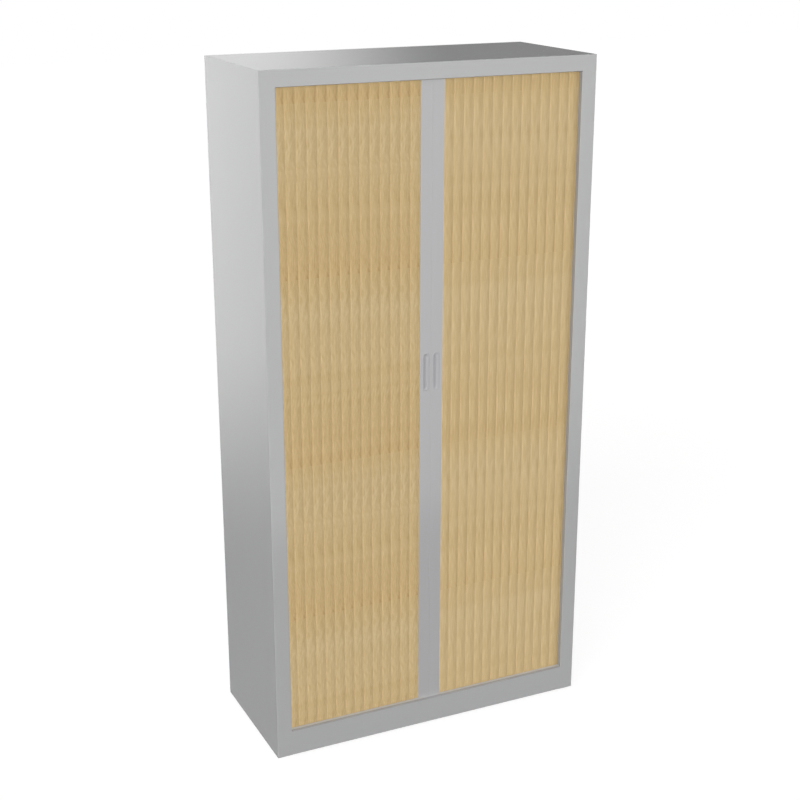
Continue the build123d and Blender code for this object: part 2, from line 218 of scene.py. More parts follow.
def rear_wall(sky, aside, away, up):
    """A wall that is bright on the left above its edge, and dark on the right."""
    low = remap(sky, up, *SIDE_EDGE, SIDE_DARK, SIDE_BRIGHT, "SMOOTHSTEP")
    glow = sums(sky, "ADD", low, remap(sky, up, *SIDE_RISE, 0.0, SIDE_GAIN))
    glow = sums(sky, "SUBTRACT", glow, remap(sky, up, *SIDE_FADE, 0.0, SIDE_LOSS))
    bearing = sums(sky, "DIVIDE", aside, away)
    backwards = remap(sky, bearing, *BACKWARDS, *BACKWARDS_TONES)
    backwards = blend_values(sky, sums(sky, "GREATER_THAN", bearing, 0.0), backwards, 1.0)
    glow = sums(sky, "MULTIPLY", glow, backwards)
    lit = remap(sky, bearing, *LEFT_PART, 1.0, 0.0, "SMOOTHSTEP")
    return blend_values(sky, lit, REAR_DARK, glow)


print("rear wall lit up to a bearing of", LEFT_PART[0])


# %% Join the walls to the white background
EVEN_LIGHT = 0.09
FRONT_TO_REAR = (-0.3, 0.3)

world = bpy.data.worlds.new("studio")
scene.world = world
world.use_nodes = True
sky = world.node_tree
sky.nodes.clear()
heading = add(sky, "ShaderNodeTexCoord").outputs["Generated"]
aside, away, up = add(sky, "ShaderNodeSeparateXYZ", {0: heading}).outputs

to_rear = remap(sky, away, *FRONT_TO_REAR, curve="SMOOTHSTEP")
walls = blend_values(sky, to_rear, front_wall(sky, aside, away, up), rear_wall(sky, aside, away, up))
rays = add(sky, "ShaderNodeLightPath").outputs
seen = blend_values(sky, rays["Is Glossy Ray"], EVEN_LIGHT, walls)
seen = blend_values(sky, rays["Is Camera Ray"], seen, 1.0)
glow = add(sky, "ShaderNodeBackground", {"Color": (1, 1, 1, 1), "Strength": seen})
add(sky, "ShaderNodeOutputWorld", {"Surface": glow.outputs[0]})
print("studio nodes", len(sky.nodes))

# %% [markdown]
# ## Floor
# The photograph has a floor so pale that it can't be told from the background. A large sheet that glows
# nearly white to the camera and is only a little shaded by what stands on it keeps that look. It lies just
# below where the levelling feet reach when they are wound right out.

# %% Lay the floor
FLOOR_HALF = 20.0
FLOOR_LEVEL = -12.5 * MM
FLOOR_GLOW = 0.91
FLOOR_SHADE = 0.11


def show_mesh(name, mesh):
    """An object at the origin that shows the mesh."""
    shown = bpy.data.objects.new(name, mesh)
    scene.collection.objects.link(shown)
    return shown


signs = ((-1, -1), (1, -1), (1, 1), (-1, 1))
corners = [(x * FLOOR_HALF, y * FLOOR_HALF, FLOOR_LEVEL) for x, y in signs]
floor_mesh = bpy.data.meshes.new("floor")
floor_mesh.from_pydata(corners, [], [(0, 1, 2, 3)])
floor = show_mesh("floor", floor_mesh)
floor.visible_diffuse = False
floor.visible_glossy = False

pale = bpy.data.materials.new("pale_floor")
pale.use_nodes = True
tree = pale.node_tree
tree.nodes.clear()
glow = add(tree, "ShaderNodeEmission", {"Strength": FLOOR_GLOW})
shade = add(tree, "ShaderNodeBsdfDiffuse", {"Color": (FLOOR_SHADE,) * 3 + (1,)})
both = add(tree, "ShaderNodeAddShader", {0: glow.outputs[0], 1: shade.outputs[0]})
add(tree, "ShaderNodeOutputMaterial", {"Surface": both.outputs[0]})
floor_mesh.materials.append(pale)
print("floor", 2 * FLOOR_HALF, "m wide")

# %% [markdown]
# ## Painted steel
# The case is powder coated in a smooth silver grey. Up close such a coat isn't one flat colour: it has a
# fine sparkle, a soft cloudiness and the shallow orange-peel ripple of a coat that flowed before it set.
# Image textures could show that, but noise read in the object's own coordinates needs no files, has no
# seams and stays true to size. The inner faces of the frame round the doors and the front lip of the ledge on
# the plinth are painted darker, as painted shade in those recesses, and they are rougher too. The ledge on
# the plinth is satin instead of glossy.

# %% A starting point for all finishes
NOISE_LOW = 0.3
NOISE_HIGH = 0.7


def finish_start(name):
    """A new material with its tree and its object coordinates."""
    material = bpy.data.materials.new(name)
    material.use_nodes = True
    tree = material.node_tree
    tree.nodes.clear()
    return material, tree, add(tree, "ShaderNodeTexCoord").outputs["Object"]


def noise(tree, place, size, detail=2.0, stretch=(1, 1, 1)):
    """Noise whose patches are about size metres across, drawn out along the axes that stretch says."""
    scaled = add(tree, "ShaderNodeVectorMath", {0: place, 1: [1 / s for s in stretch]}, operation="MULTIPLY")
    inputs = {"Vector": scaled.outputs[0], "Scale": 1 / size, "Detail": detail}
    return add(tree, "ShaderNodeTexNoise", inputs).outputs["Fac"]


def vary(tree, field, low, high):
    """Noise turned into values from low to high. It rarely goes past the two limits named above."""
    return remap(tree, field, NOISE_LOW, NOISE_HIGH, low, high)


def tinted(tree, colour, share):
    """The colour made lighter or darker by a share that is 1 on average."""
    scaled = add(tree, "ShaderNodeVectorMath", {0: colour, "Scale": share}, operation="SCALE")
    return scaled.outputs[0]


def ripple(tree, height, depth):
    inputs = {"Height": height, "Distance": depth, "Strength": 1.0}
    return add(tree, "ShaderNodeBump", inputs).outputs["Normal"]


def close_finish(tree, **inputs):
    shader = add(tree, "ShaderNodeBsdfPrincipled", {k.replace("_", " "): v for k, v in inputs.items()})
    add(tree, "ShaderNodeOutputMaterial", {"Surface": shader.outputs[0]})


print("finish helpers ready")

# %% Where shade is painted into the folds, and where the ledge is satin
FOLD_HALF = 455.3 * MM
FOLD_FRONT = -214.8 * MM
FOLD_BACK = -198.0 * MM
FOLD_LOW = 81.0 * MM
FOLD_HIGH = 1937.5 * MM
LEDGE_LOW = 77.5 * MM
LIP_BACK_EDGE = -207.5 * MM
LIP_FADE = 1.5 * MM


def all_of(tree, *tests):
    """One where every test is one."""
    share = tests[0]
    for test in tests[1:]:
        share = sums(tree, "MULTIPLY", share, test)
    return share


def between(tree, value, low, high):
    """One between the two limits, and nothing outside them."""
    return all_of(tree, sums(tree, "GREATER_THAN", value, low), sums(tree, "LESS_THAN", value, high))


def shade_and_satin_masks(tree, place):
    """Where shade is painted (inside the folds round the doors, and the ledge's front lip), and the whole
    ledge.
    """
    x, y, z = add(tree, "ShaderNodeSeparateXYZ", {0: place}).outputs
    opening = sums(tree, "LESS_THAN", sums(tree, "ABSOLUTE", x), FOLD_HALF)
    deep = between(tree, y, FOLD_FRONT, FOLD_BACK)
    folds = all_of(tree, opening, deep, between(tree, z, FOLD_LOW, FOLD_HIGH))
    ledge = all_of(tree, opening, between(tree, z, LEDGE_LOW, FOLD_LOW))
    lip = remap(tree, y, LIP_BACK_EDGE - LIP_FADE, LIP_BACK_EDGE + LIP_FADE, 1.0, 0.0)
    return sums(tree, "MAXIMUM", folds, all_of(tree, ledge, lip)), ledge


print("folds", round(2 * FOLD_HALF / MM, 1), "mm apart")


# %% Powder-coated paint
CASE_GREY = (0.428, 0.430, 0.432)
CLOUD_SIZE = 0.25
CLOUD_TONES = (0.988, 1.0)
SPARKLE_SIZE = 0.6 * MM
SPARKLE_TONES = (-0.02, 0.032)
PATCH_SIZE = 0.08
COAT_ROUGH = (0.06, 0.09)
COAT_GLOSS = 1.0
PEEL_SIZE = 2.5 * MM
PEEL_DEPTH = 0.004 * MM
# Painted shade: how dark the inner faces of the folds and the ledge's front lip are made.
FOLD_PAINTED_SHADE = 0.62
FOLD_ROUGH = 0.6
LEDGE_ROUGH = 0.35


def powder_coat(name, colour):
    material, tree, place = finish_start(name)
    painted_shade_and_rough, ledge = shade_and_satin_masks(tree, place)
    cloud = vary(tree, noise(tree, place, CLOUD_SIZE), *CLOUD_TONES)
    sparkle = vary(tree, noise(tree, place, SPARKLE_SIZE, 1.0), *SPARKLE_TONES)
    share = sums(tree, "ADD", cloud, sparkle)
    # Painted shade: the inner faces of the folds round the doors and the ledge's front lip are made darker
    # here.
    share = sums(tree, "MULTIPLY", share, blend_values(tree, painted_shade_and_rough, 1.0, FOLD_PAINTED_SHADE))
    roughness = vary(tree, noise(tree, place, PATCH_SIZE), *COAT_ROUGH)
    roughness = blend_values(tree, ledge, roughness, LEDGE_ROUGH)
    roughness = blend_values(tree, painted_shade_and_rough, roughness, FOLD_ROUGH)
    close_finish(
        tree, Base_Color=tinted(tree, colour, share), Roughness=roughness, Specular_IOR_Level=COAT_GLOSS,
        Normal=ripple(tree, noise(tree, place, PEEL_SIZE), PEEL_DEPTH),
    )
    return material


finishes = {"case_paint": powder_coat("case_paint", CASE_GREY)}
print("case paint mixed")

# %% [markdown]
# ## Lead profiles and finger pulls
# Each curtain ends in an aluminium extrusion in a coating that matches the case, very slightly cooler. It
# keeps the faint upright lines of the die. The finger pull is a moulded insert in the same grey with a finely
# etched face. It is made a touch darker, partly its own grey and partly painted shade for its dish.

# %% Coated extrusion and moulded grey plastic
LEAD_GREY = (0.430, 0.427, 0.436)
DIE_LINE = 0.5 * MM
DIE_STRETCH = (1, 1, 400)
DIE_DEPTH = 0.002 * MM
DIE_TONES = (0.985, 1.015)
LEAD_PATCH = 0.06
LEAD_STRETCH = (1, 1, 4)
LEAD_ROUGH = (0.06, 0.09)
# Partly painted shade: the insert's grey is a touch darker than the lead's to stand for shade in its dish.
PULL_GREY_WITH_SHADE = (0.412, 0.410, 0.426)
SCUFF_SIZE = 12 * MM
SCUFF_ROUGH = 0.05


def coated_extrusion(name, colour):
    material, tree, place = finish_start(name)
    lines = noise(tree, place, DIE_LINE, stretch=DIE_STRETCH)
    patches = noise(tree, place, LEAD_PATCH, stretch=LEAD_STRETCH)
    close_finish(
        tree, Base_Color=tinted(tree, colour, vary(tree, lines, *DIE_TONES)),
        Roughness=vary(tree, patches, *LEAD_ROUGH), Specular_IOR_Level=COAT_GLOSS,
        Normal=ripple(tree, lines, DIE_DEPTH),
    )
    return material


def moulded(name, colour, rough, grain_size, grain_depth, gloss=0.5, spread=0.04):
    """Moulded plastic or rubber: an even colour with an etched or slightly scuffed skin."""
    material, tree, place = finish_start(name)
    etch = noise(tree, place, grain_size, 3.0)
    scuff = noise(tree, place, SCUFF_SIZE, 4.0)
    close_finish(
        tree, Base_Color=tinted(tree, colour, vary(tree, scuff, 1 - spread, 1 + spread)),
        Roughness=vary(tree, scuff, rough - SCUFF_ROUGH, rough + SCUFF_ROUGH), Specular_IOR_Level=gloss,
        Normal=ripple(tree, etch, grain_depth),
    )
    return material


finishes["lead_profile"] = coated_extrusion("lead_profile", LEAD_GREY)
finishes["finger_pull"] = moulded(
    "finger_pull", PULL_GREY_WITH_SHADE, rough=0.5, grain_size=0.5 * MM, grain_depth=0.004 * MM, spread=0.015)
print("lead finishes mixed")

# %% [markdown]
# ## Wood-effect slats
# The slats carry a printed light oak foil. Its print repeats every metre along the slat and each slat shows
# the same piece of it, nearly. Three things make it read as wood: fine upright pores, broader streaks that
# sway as they rise, and slow bands that turn more orange as they darken and end in small flecks where one
# length of print meets the next. They are built from noise drawn out along the grain, in coordinates that
# start again at each slat. Light and shade on each slat's crown are painted into the foil as well: a thin
# painted highlight along both edges, and painted shade over the right half, where the crown turns from the
# light. The right door's print is broader, longer and calmer.

# %% Slat sizes, read from the model
SLATS = len([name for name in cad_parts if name.startswith("left_slat_")])
first_low, first_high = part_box("right_slat_01")
second_low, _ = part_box("right_slat_02")
FIRST_EDGE = first_low.x
PITCH = second_low.x - first_low.x
print("slats", SLATS, "first edge", round(FIRST_EDGE / MM, 2), "pitch", round(PITCH / MM, 2), "mm")

# %% Where a point lies on its slat
PRINT_LENGTH = 1.0
PRINT_START = 0.425

Spot = namedtuple("Spot", "is_left side number across along height")


def slat_spot(tree, place):
    """The point's door and slat, and how far across the slat and along the print it lies, from 0 to 1."""
    x, _, z = add(tree, "ShaderNodeSeparateXYZ", {0: place}).outputs
    side = sums(tree, "SIGN", x)
    from_first = sums(tree, "SUBTRACT", x, sums(tree, "MULTIPLY", side, FIRST_EDGE))
    counted = sums(tree, "DIVIDE", from_first, PITCH)
    above_start = sums(tree, "SUBTRACT", z, PRINT_START)
    return Spot(
        is_left=sums(tree, "LESS_THAN", x, 0.0), side=side, number=sums(tree, "FLOOR", counted),
        across=sums(tree, "FRACT", counted), along=sums(tree, "FRACT", above_start), height=z,
    )


def by_door(tree, spot, left, right):
    """One value on the left door and another on the right."""
    return blend_values(tree, spot.is_left, right, left)


print("print starts at", PRINT_START, "m")


# %% Pores, swaying streaks and the slat's own grain
RIGHT_ACROSS = 0.7
RIGHT_ALONG = 0.45
OWN_STEP = 0.37
SWAY_SIZE = 0.045
SWAY_STRETCH = (1, 1, 1.6)
SWAY_LIMITS = (0.25, 0.75)
LEFT_SWAY = 5.0 * MM
RIGHT_SWAY = 1.5 * MM
STREAK_WIDTH = 3.2 * MM
STREAK_STRETCH = (1, 1, 8)
PORE_WIDTH = 1.5 * MM
PORE_STRETCH = (1, 1, 9)
OWN_WIDTH = 5.0 * MM
OWN_STRETCH = (1, 1, 12)
FINE_DETAIL = 3.0


def grain(tree, spot):
    """Streaks and pores that all slats of a door share, and grain that each slat has for itself."""
    metres = sums(tree, "MULTIPLY", spot.across, PITCH)
    width = sums(tree, "MULTIPLY", metres, by_door(tree, spot, 1.0, RIGHT_ACROSS))
    length = sums(tree, "MULTIPLY", spot.along, by_door(tree, spot, 1.0, RIGHT_ALONG))
    print_place = add(tree, "ShaderNodeCombineXYZ", {0: width, 1: spot.side, 2: length}).outputs[0]
    apart = sums(tree, "MULTIPLY", spot.number, OWN_STEP)
    own_place = add(tree, "ShaderNodeCombineXYZ", {0: width, 1: apart, 2: spot.height}).outputs[0]

    sway = remap(tree, noise(tree, print_place, SWAY_SIZE, stretch=SWAY_STRETCH), *SWAY_LIMITS, -1.0, 1.0)
    sway = sums(tree, "MULTIPLY", sway, by_door(tree, spot, LEFT_SWAY, RIGHT_SWAY))
    shift = add(tree, "ShaderNodeCombineXYZ", {0: sway}).outputs[0]
    flame = add(tree, "ShaderNodeVectorMath", {0: print_place, 1: shift}, operation="ADD").outputs[0]
    streaks = noise(tree, flame, STREAK_WIDTH, stretch=STREAK_STRETCH)
    pores = noise(tree, flame, PORE_WIDTH, FINE_DETAIL, PORE_STRETCH)
    own = noise(tree, own_place, OWN_WIDTH, FINE_DETAIL, OWN_STRETCH)
    return streaks, pores, own


print("streaks about", STREAK_WIDTH / MM, "mm wide, pores", PORE_WIDTH / MM, "mm")


# %% Bands along the print, and the flecks where they start again
FIRST_JOIN = 0.465
BAND_PEAK = 0.8
BAND_DROP = 0.65
RIGHT_BAND = (0.2, 0.8)
FLECK_HEIGHT = 0.024
FLECK_PLACE = 0.86
FLECK_WIDTH = 0.16
FLECK_LEAN = 9.0
RIGHT_FLECK = 0.3


def bands(tree, spot):
    """A slow rise from dark to pale that starts twice in each length of print, and its flecks."""
    lower = sums(tree, "LESS_THAN", spot.along, FIRST_JOIN)
    first = sums(tree, "DIVIDE", spot.along, FIRST_JOIN)
    past_join = sums(tree, "SUBTRACT", spot.along, FIRST_JOIN)
    second = sums(tree, "DIVIDE", past_join, PRINT_LENGTH - FIRST_JOIN)
    rise = blend_values(tree, lower, second, first)
    drop = remap(tree, rise, BAND_PEAK, 1.0, 0.0, BAND_DROP, "SMOOTHSTEP")
    band = sums(tree, "SUBTRACT", remap(tree, rise, 0.0, BAND_PEAK), drop)
    band = by_door(tree, spot, band, remap(tree, band, 0.0, 1.0, *RIGHT_BAND))

    above = sums(tree, "MULTIPLY", rise, PRINT_LENGTH / 2)
    lean = sums(tree, "ADD", spot.across, sums(tree, "MULTIPLY", above, FLECK_LEAN))
    off = sums(tree, "ABSOLUTE", sums(tree, "SUBTRACT", lean, FLECK_PLACE))
    fleck = all_of(
        tree, remap(tree, above, 0.0, FLECK_HEIGHT, 1.0, 0.0, "SMOOTHSTEP"),
        remap(tree, off, 0.0, FLECK_WIDTH, 1.0, 0.0, "SMOOTHSTEP"), by_door(tree, spot, 1.0, RIGHT_FLECK),
    )
    return band, fleck


print("flecks", FLECK_HEIGHT / MM, "mm high")


# %% Oak foil
DARK_OAK = (0.475, 0.333, 0.153, 1)
LIGHT_OAK = (0.641, 0.494, 0.275, 1)
BAND_DARK = (0.982, 0.958, 0.912, 1)
BAND_PALE = (1.018, 1.042, 1.088, 1)
LEFT_TONE = 0.47
RIGHT_TONE = 0.56
LEFT_STREAKS = 0.22
RIGHT_STREAKS = 0.16
PORE_SHARE = 0.21
OWN_SHARE = 0.12
FLECK_SHARE = 0.6
# Painted light and shade across each slat: a painted highlight along both edges and painted shade on the
# right half.
CROWN_LIGHT_SHARE = 0.12
START_LINE = (0.0, 0.12)
START_HIGHLIGHT = -0.8
SHADED_PART = (0.45, 0.8)
END_LINE = (0.84, 0.96)
END_HIGHLIGHT = 1.8
FOIL_ROUGH = (0.55, 0.47)
FOIL_GLOSS = 0.3
PORE_DEPTH = 0.01 * MM


def painted_crown_light(tree, across):
    """Painted light and shade by the place across the slat: below zero for a painted highlight along the
    edges, above zero for painted shade on the right half.
    """
    start = remap(tree, across, *START_LINE, START_HIGHLIGHT, 0.0)
    shaded = remap(tree, across, *SHADED_PART)
    end = remap(tree, across, *END_LINE, 0.0, END_HIGHLIGHT)
    return sums(tree, "SUBTRACT", sums(tree, "ADD", start, shaded), end)


def blend_colours(tree, share, first, second):
    return add(tree, "ShaderNodeMix", {0: share, 6: first, 7: second}, data_type="RGBA").outputs[2]


def oak_foil(name):
    material, tree, place = finish_start(name)
    spot = slat_spot(tree, place)
    streaks, pores, own = grain(tree, spot)
    band, fleck = bands(tree, spot)
    crown_light = painted_crown_light(tree, spot.across)

    streaks = vary(tree, streaks, -1.0, 1.0)
    streaks = sums(tree, "MULTIPLY", streaks, by_door(tree, spot, LEFT_STREAKS, RIGHT_STREAKS))
    tone = sums(tree, "ADD", by_door(tree, spot, LEFT_TONE, RIGHT_TONE), streaks)
    for field, share in ((pores, PORE_SHARE), (own, OWN_SHARE)):
        tone = sums(tree, "ADD", tone, vary(tree, field, -share, share))
    # The flecks are print; the crown's marks are painted highlight and painted shade.
    for mark, share in ((fleck, FLECK_SHARE), (crown_light, CROWN_LIGHT_SHARE)):
        tone = sums(tree, "ADD", tone, remap(tree, mark, 1.0, -1.0, -share, share))

    oak = blend_colours(tree, tone, DARK_OAK, LIGHT_OAK)
    warmth = blend_colours(tree, band, BAND_DARK, BAND_PALE)
    colour = add(tree, "ShaderNodeVectorMath", {0: oak, 1: warmth}, operation="MULTIPLY").outputs[0]
    close_finish(
        tree, Base_Color=colour, Roughness=vary(tree, pores, *FOIL_ROUGH), Specular_IOR_Level=FOIL_GLOSS,
        Normal=ripple(tree, pores, PORE_DEPTH),
    )
    return material


finishes["slat_wood_effect"] = oak_foil("slat_wood_effect")
print("oak foil mixed")

# %% [markdown]
# ## Fittings
# The tracks, guides, buffers and feet are moulded plastic or rubber, the clips and nut plates are bright
# zinc-plated steel, and the rivets are bare aluminium. They are mostly hidden, but the open doors show the
# tracks and clips, and the back shows the rivets. Zinc plating has a faint spangle and uneven brightness.

# %% Plastics, rubber and bare metals
TRACK_GREY = (0.17, 0.175, 0.175)
GUIDE_BLACK = (0.014, 0.014, 0.014)
RUBBER_BLACK = (0.008, 0.008, 0.008)
FOOT_BLACK = (0.012, 0.012, 0.012)
ALUMINIUM = (0.66, 0.67, 0.68)
ZINC = (0.58, 0.585, 0.57)
SPANGLE_TONES = (0.93, 1.0)
SMEAR_SIZE = 6 * MM
SMEAR_TONES = (-0.03, 0.05)
SMEAR_SMOOTHER = 0.06
SMEAR_ROUGHER = 0.08
METAL_GRAIN = 0.7 * MM
METAL_DEPTH = 0.01 * MM


def bare_metal(name, colour, rough, spangle):
    material, tree, place = finish_start(name)
    cells = add(tree, "ShaderNodeTexVoronoi", {"Vector": place, "Scale": 1 / spangle}).outputs["Color"]
    tone = add(tree, "ShaderNodeSeparateXYZ", {0: cells}).outputs[0]
    smear = noise(tree, place, SMEAR_SIZE, 3.0)
    share = sums(tree, "ADD", remap(tree, tone, 0.0, 1.0, *SPANGLE_TONES), vary(tree, smear, *SMEAR_TONES))
    close_finish(
        tree, Base_Color=tinted(tree, colour, share), Metallic=1.0,
        Roughness=vary(tree, smear, rough - SMEAR_SMOOTHER, rough + SMEAR_ROUGHER),
        Normal=ripple(tree, noise(tree, place, METAL_GRAIN), METAL_DEPTH),
    )
    return material


for name, colour, rough, grain_size, grain_depth, gloss, spread in (
    ("track_plastic", TRACK_GREY, 0.5, 0.8 * MM, 0.02 * MM, 0.5, 0.04),
    ("guide_plastic", GUIDE_BLACK, 0.45, 0.8 * MM, 0.02 * MM, 0.5, 0.04),
    ("buffer_rubber", RUBBER_BLACK, 0.8, 1.5 * MM, 0.05 * MM, 0.3, 0.15),
    ("foot_plastic", FOOT_BLACK, 0.5, 1.0 * MM, 0.04 * MM, 0.5, 0.04),
):
    finishes[name] = moulded(name, colour, rough, grain_size, grain_depth, gloss, spread)
finishes["rivet"] = bare_metal("rivet", ALUMINIUM, rough=0.32, spangle=1.5 * MM)
finishes["plated_steel"] = bare_metal("plated_steel", ZINC, rough=0.3, spangle=2.5 * MM)
print("finishes", sorted(finishes))

# %% Put each finish on its pieces
for name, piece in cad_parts.items():
    slot = piece.data.materials[0].name.split(".")[0]
    piece.data.materials[0] = finishes[slot]
print("finished", len(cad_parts), "measured pieces")

# %% [markdown]
# ## The curtains
# A tambour slat is an extrusion: a gently crowned plate with a round bead along one edge and an open socket
# along the other, so that each slat snaps into the next and the curtain can bend. The measured slats have
# flats there to stay light. Here the same section is drawn again with true curves, and one Geometry Nodes
# tree sets it out along the door, because all fourteen slats follow one rule. A separate mesh is kept for
# each slat, because each moves on its own.

# %% The slat's section
CROWN = 1.3
PLATE_UNDER = 2.6
PLATE_WIDTH = 29.7
JOINT_GAP = PITCH / MM - PLATE_WIDTH
EDGE_DEEP = 0.42
EDGE_WIDE = 1.2
HINGE_DEPTH = 3.3
BEAD = 1.1
SOCKET_IN = 1.35
SOCKET_OUT = 2.25
NECK = 0.9
NECK_ROOT = 5.0
NECK_RAMP = 2.0
LIP_BACK = -105.0
CROWN_STEPS = 14
CORNER_STEPS = 4
BEAD_STEPS = 20
LIP_STEPS = 12


def arc(centre, radius, start, stop, steps):
    """Points round a centre; 90 degrees is towards the front, which is smaller Y."""
    turns = [math.radians(start + (stop - start) * i / steps) for i in range(steps + 1)]
    return [(centre + radius * math.cos(t), HINGE_DEPTH - radius * math.sin(t)) for t in turns]


def rounded(start, corner, stop, steps):
    """A soft corner between two points."""
    points = []
    for i in range(steps + 1):
        t = i / steps
        points.append(tuple(
            (1 - t) ** 2 * a + 2 * t * (1 - t) * b + t**2 * c for a, b, c in zip(start, corner, stop)))
    return points


def slat_section():
    """The outline in millimetres, X from the slat's own socket and Y from the crown backwards."""
    left, right = -SOCKET_OUT, PLATE_WIDTH - SOCKET_OUT
    half = PLATE_WIDTH / 2
    radius = (half**2 + CROWN**2) / (2 * CROWN)
    lean = math.asin(half / radius) * (1 - EDGE_WIDE / half)
    crown = []
    for i in range(CROWN_STEPS + 1):
        turn = lean * (2 * i / CROWN_STEPS - 1)
        crown.append((left + half + radius * math.sin(turn), radius * (1 - math.cos(turn))))
    shoulder = CROWN + EDGE_DEEP
    outline = rounded((left, shoulder), (left, CROWN), crown[0], CORNER_STEPS)
    outline += crown[1:-1]
    outline += rounded(crown[-1], (right, CROWN), (right, shoulder), CORNER_STEPS)

    bead_turn = 180 - math.degrees(math.asin(NECK / 2 / BEAD))
    outline.append((right, HINGE_DEPTH - NECK / 2))
    outline += arc(PLATE_WIDTH + JOINT_GAP, BEAD, bead_turn, -bead_turn, BEAD_STEPS)
    outline += [(right - NECK_RAMP, HINGE_DEPTH + NECK / 2), (right - NECK_ROOT, PLATE_UNDER)]

    depth = HINGE_DEPTH - PLATE_UNDER
    outside = math.degrees(math.asin(depth / SOCKET_OUT))
    inside = 180 - math.degrees(math.asin(depth / SOCKET_IN))
    outline += arc(0, SOCKET_OUT, outside, LIP_BACK, LIP_STEPS)
    outline += arc(0, SOCKET_IN, LIP_BACK, inside, BEAD_STEPS)
    outline.append((left, PLATE_UNDER))
    return outline


section = slat_section()
print("section points", len(section), "joint gap", round(JOINT_GAP, 2), "mm")

# %% The section as a flat face
section_mesh = bpy.data.meshes.new("slat_section")
section_mesh.from_pydata([(x * MM, y * MM, 0) for x, y in section], [], [tuple(range(len(section)))])
if section_mesh.polygons[0].normal.z < 0:
    section_mesh.flip_normals()
section_source = show_mesh("slat_section", section_mesh)
print("section width", round(section_source.dimensions.x / MM, 2), "mm")


# %% The curtain's tree
WELD = 1e-6
CURTAIN_INPUTS = (
    ("Section", "NodeSocketObject", None), ("Material", "NodeSocketMaterial", None),
    ("Slats", "NodeSocketInt", 14), ("Wanted slat", "NodeSocketInt", 0), ("Hand", "NodeSocketFloat", 1.0),
    ("Pitch", "NodeSocketFloat", 0.03), ("First hinge", "NodeSocketFloat", 0.0),
    ("Front", "NodeSocketFloat", 0.0), ("Bottom", "NodeSocketFloat", 0.0), ("Height", "NodeSocketFloat", 1.0),
)


def tree_input(tree, name, kind, value=None):
    socket = tree.interface.new_socket(name=name, in_out="INPUT", socket_type=kind)
    if value is not None:
        socket.default_value = value
    return socket


def one_slat(tree, given):
    """The section drawn up to its height, closed at the foot and mirrored for the left door."""
    face = add(tree, "GeometryNodeObjectInfo", {"Object": given["Section"]}).outputs["Geometry"]
    upwards = {"Mesh": face, "Offset Scale": given["Height"]}
    drawn = add(tree, "GeometryNodeExtrudeMesh", upwards).outputs["Mesh"]
    foot = add(tree, "GeometryNodeFlipFaces", {"Mesh": face}).outputs[0]
    parts = add(tree, "GeometryNodeJoinGeometry")
    tree.links.new(foot, parts.inputs[0])
    tree.links.new(drawn, parts.inputs[0])
    welded = {"Geometry": parts.outputs[0], "Distance": WELD}
    slat = add(tree, "GeometryNodeMergeByDistance", welded).outputs[0]
    handed = add(tree, "ShaderNodeCombineXYZ", {0: given["Hand"], 1: 1.0, 2: 1.0}).outputs[0]
    turned = add(tree, "GeometryNodeTransform", {"Geometry": slat, "Scale": handed}).outputs[0]
    mended = add(tree, "GeometryNodeFlipFaces", {"Mesh": turned}).outputs[0]
    mirrored = sums(tree, "LESS_THAN", given["Hand"], 0.0)
    inputs = {"Switch": mirrored, "False": turned, "True": mended}
    return add(tree, "GeometryNodeSwitch", inputs, input_type="GEOMETRY").outputs[0]


def curtain_tree():
    """A row of slats at the door's pitch, of which only the wanted one is made."""
    tree = bpy.data.node_groups.new("tambour_curtain", "GeometryNodeTree")
    sockets = {name: tree_input(tree, name, kind, value).identifier for name, kind, value in CURTAIN_INPUTS}
    tree.interface.new_socket(name="Geometry", in_out="OUTPUT", socket_type="NodeSocketGeometry")
    given = add(tree, "NodeGroupInput").outputs

    step = sums(tree, "MULTIPLY", given["Hand"], given["Pitch"])
    start = sums(tree, "MULTIPLY", given["Hand"], given["First hinge"])
    places = add(tree, "GeometryNodeMeshLine", {
        "Count": given["Slats"],
        "Start Location": add(tree, "ShaderNodeCombineXYZ", {
            0: start, 1: given["Front"], 2: given["Bottom"]}).outputs[0],
        "Offset": add(tree, "ShaderNodeCombineXYZ", {0: step}).outputs[0],
    }).outputs[0]
    index = add(tree, "GeometryNodeInputIndex").outputs[0]
    wanted = add(tree, "FunctionNodeCompare", data_type="INT", operation="EQUAL")
    tree.links.new(index, wanted.inputs[2])
    tree.links.new(given["Wanted slat"], wanted.inputs[3])
    copies = add(tree, "GeometryNodeInstanceOnPoints", {
        "Points": places, "Selection": wanted.outputs[0], "Instance": one_slat(tree, given)}).outputs[0]
    real = add(tree, "GeometryNodeRealizeInstances", {"Geometry": copies}).outputs[0]
    foiled = {"Geometry": real, "Material": given["Material"]}
    finished = add(tree, "GeometryNodeSetMaterial", foiled).outputs[0]
    ended = add(tree, "NodeGroupOutput")
    tree.links.new(finished, ended.inputs[0])
    return tree, sockets


curtain, curtain_sockets = curtain_tree()
print("curtain tree nodes", len(curtain.nodes))

# %% Turn a tree's result into a plain mesh
SMOOTH_BELOW = math.radians(35)


def softened(mesh):
    """Smooth shading that keeps true edges sharp."""
    mesh.shade_smooth()
    mesh.set_sharp_from_angle(angle=SMOOTH_BELOW)
    return mesh


def grow(name, tree, sockets, values):
    """Runs a Geometry Nodes tree once and keeps its result as a plain mesh object at the origin."""
    seed = show_mesh("seed", bpy.data.meshes.new("seed"))
    modifier = seed.modifiers.new("tree", "NODES")
    modifier.node_group = tree
    for key, value in values.items():
        modifier[sockets[key]] = value
    seed.update_tag()
    graph = bpy.context.evaluated_depsgraph_get()
    mesh = bpy.data.meshes.new_from_object(seed.evaluated_get(graph))
    bpy.data.objects.remove(seed)
    mesh.name = name
    return show_mesh(name, softened(mesh))


print("ready to grow")

# %% Set out both curtains
SLAT_BODY = "{hand}_slat_{number:02d}"

